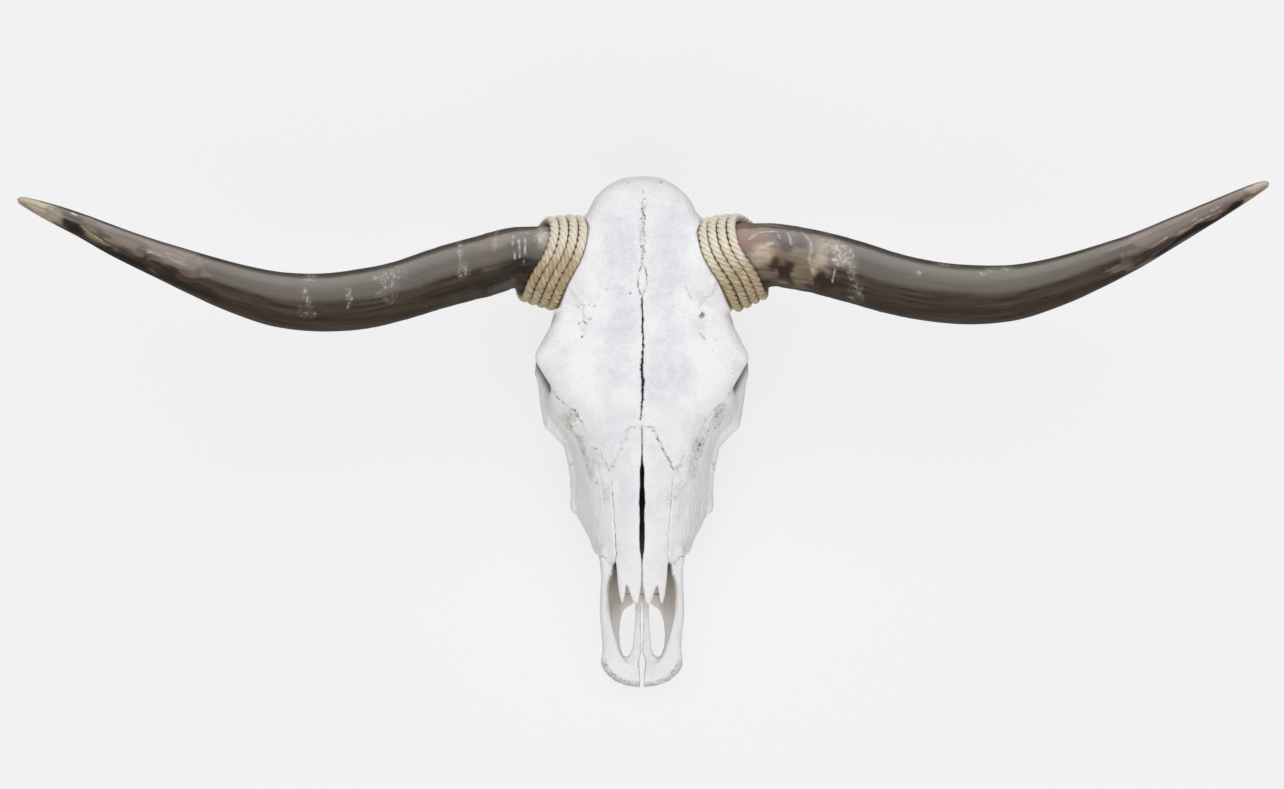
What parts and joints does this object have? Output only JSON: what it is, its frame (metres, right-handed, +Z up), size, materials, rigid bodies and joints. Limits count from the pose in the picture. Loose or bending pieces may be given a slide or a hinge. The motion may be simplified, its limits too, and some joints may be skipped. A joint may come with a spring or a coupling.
{
  "type": "longhorn steer skull",
  "caption": "Dry, bleached skull of a longhorn steer with wide dark horns and rope bound round each horn's base, resting on its cheek teeth.",
  "frame": {"origin": "on the floor, under the middle of the whole skull's bounding box", "axes": "+X to the animal's left along the spread of the horns, +Y towards the poll, the muzzle pointing along -Y, +Z up from the floor that the teeth rest on"},
  "size_m": [1.2674, 0.53, 0.3125],
  "materials": {
    "bone": "dry bleached bone, matte, with open sutures and fine pores",
    "horn": "polished natural horn, dark grey brown with mottling and pale tips",
    "rope": "three-strand natural fibre rope, straw coloured"
  },
  "bodies": {
    "root": {"cranium": "bone", "nasal_left": "bone", "nasal_right": "bone", "premaxilla_left": "bone", "premaxilla_right": "bone", "horn_left": "horn", "horn_right": "horn", "rope_left": "rope", "rope_right": "rope"}
  },
  "joints": []
}
